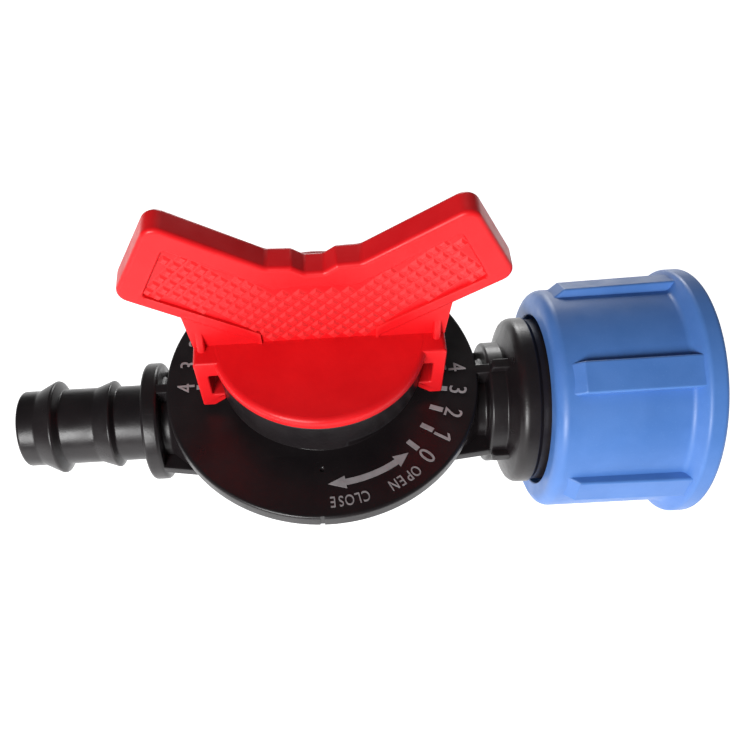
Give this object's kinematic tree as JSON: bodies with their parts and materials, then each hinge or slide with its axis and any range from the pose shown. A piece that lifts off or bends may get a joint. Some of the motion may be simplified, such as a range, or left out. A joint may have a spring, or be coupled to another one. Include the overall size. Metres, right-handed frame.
{
  "type": "ball valve",
  "caption": "In-line plastic ball valve: barbed hose tail, swivel coupling nut with internal thread, and a winged clip-on lever that turns over a numbered flow dial.",
  "frame": {"origin": "centre of the coupling nut's threaded mouth, on the pipe line; the ball's centre is 55.5 mm behind it along -X", "axes": "+X along the pipe line out of the coupling nut, +Z along the spindle towards the handle, -Y the side the printed arrow faces"},
  "size_m": [0.1019, 0.0462, 0.0607],
  "materials": {
    "body_black": "satin moulded polypropylene",
    "print_grey": "matt pad print",
    "ball_white": "polished acetal",
    "seat_white": "waxy fluoropolymer",
    "seal_rubber": "matt nitrile rubber",
    "spindle_black": "satin glass-filled nylon",
    "handle_red": "semi-gloss moulded plastic",
    "nut_blue": "semi-gloss moulded plastic"
  },
  "bodies": {
    "body": {"valve_body": "body_black", "dial_print": "print_grey", "seat_hose_side": "seat_white", "seat_nut_side": "seat_white", "seat_backing_hose_side": "seal_rubber", "seat_backing_nut_side": "seal_rubber", "sealing_washer": "seal_rubber"},
    "rotor": {"handle": "handle_red", "spindle": "spindle_black", "ball": "ball_white", "spindle_seal_lower": "seal_rubber", "spindle_seal_upper": "seal_rubber"},
    "nut": {"coupling_nut": "nut_blue"}
  },
  "joints": [
    {"name": "handle_turn", "type": "hinge", "parent": "body", "child": "rotor", "pos_m": [-0.0555, 0, 0], "axis": [0, 0, 1], "range_deg": [-57, 0]},
    {"name": "nut_spin", "type": "hinge", "parent": "body", "child": "nut", "pos_m": [0, 0, 0], "axis": [1, 0, 0], "continuous": true}
  ]
}
